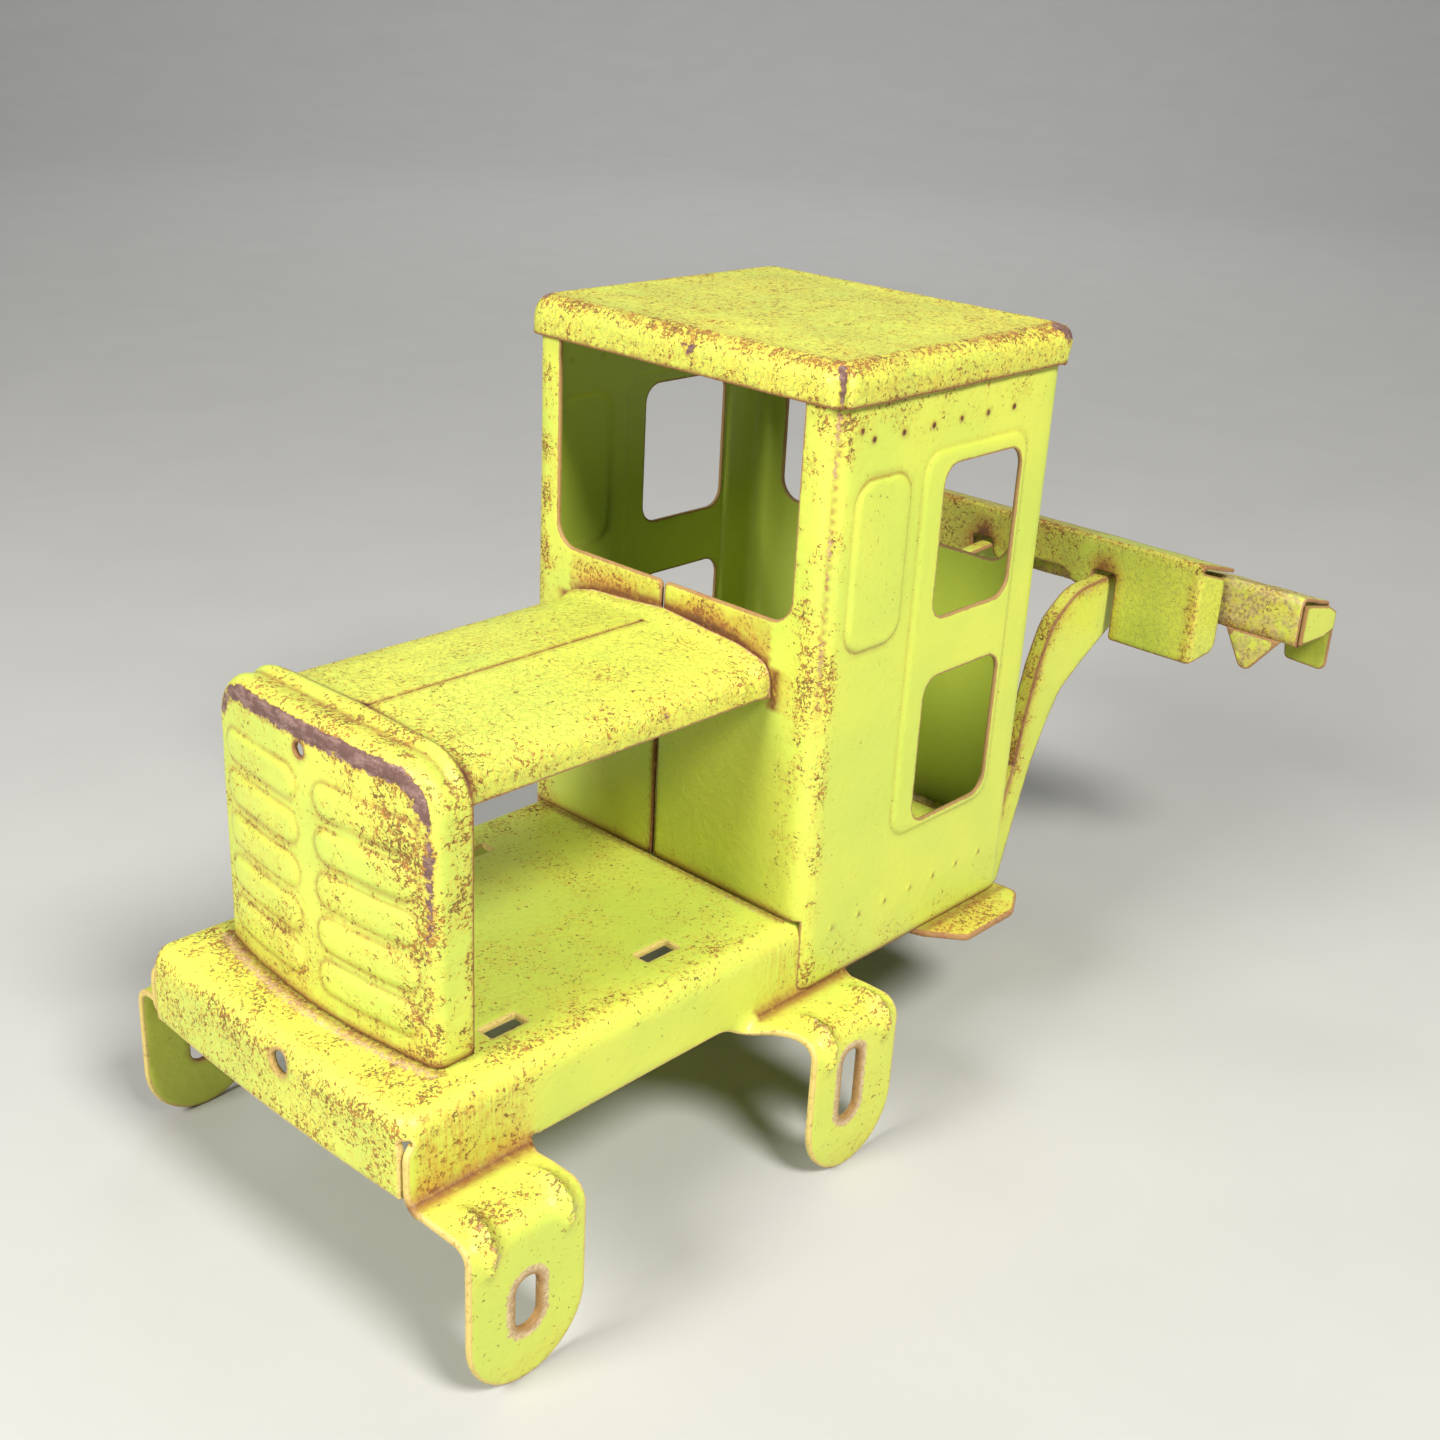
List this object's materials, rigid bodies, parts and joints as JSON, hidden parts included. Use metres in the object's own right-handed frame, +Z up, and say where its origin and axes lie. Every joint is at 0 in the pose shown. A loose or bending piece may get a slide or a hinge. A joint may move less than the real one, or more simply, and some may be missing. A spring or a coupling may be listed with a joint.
{
  "type": "toy hauler truck body",
  "caption": "Pressed-steel toy truck body: bowed grille shell, open-sided hood and tall windowed cab on a folded pan with slotted axle hangers, with a rear yoke and crossmember.",
  "frame": {"origin": "centre of the overall box, on the plane of the hanger tips that the body stands on", "axes": "+X points back from the grille to the crossmember, +Y to the truck's right, +Z up"},
  "size_m": [0.2638, 0.1304, 0.16],
  "materials": {
    "lime_paint": "glossy lime yellow-green enamel over steel, rust specks and chips on edges and upper faces",
    "worn_paint": "the same lime enamel worn thin to mottled grey-brown steel",
    "rusted_steel": "matt tan-brown rust over sheet steel, with traces of lime paint"
  },
  "bodies": {
    "root": {"deck_pan": "lime_paint", "axle_hanger_front_left": "lime_paint", "axle_hanger_front_right": "lime_paint", "axle_hanger_rear_left": "lime_paint", "axle_hanger_rear_right": "lime_paint", "grille_shell": "lime_paint", "hood": "lime_paint", "cab_shell": "lime_paint", "roof_cap": "lime_paint", "step_plate": "lime_paint", "sill_angle": "rusted_steel", "yoke": "lime_paint", "crossmember_face": "lime_paint", "crossmember_back": "worn_paint", "end_ear_left": "lime_paint", "end_ear_right": "lime_paint"}
  },
  "joints": []
}
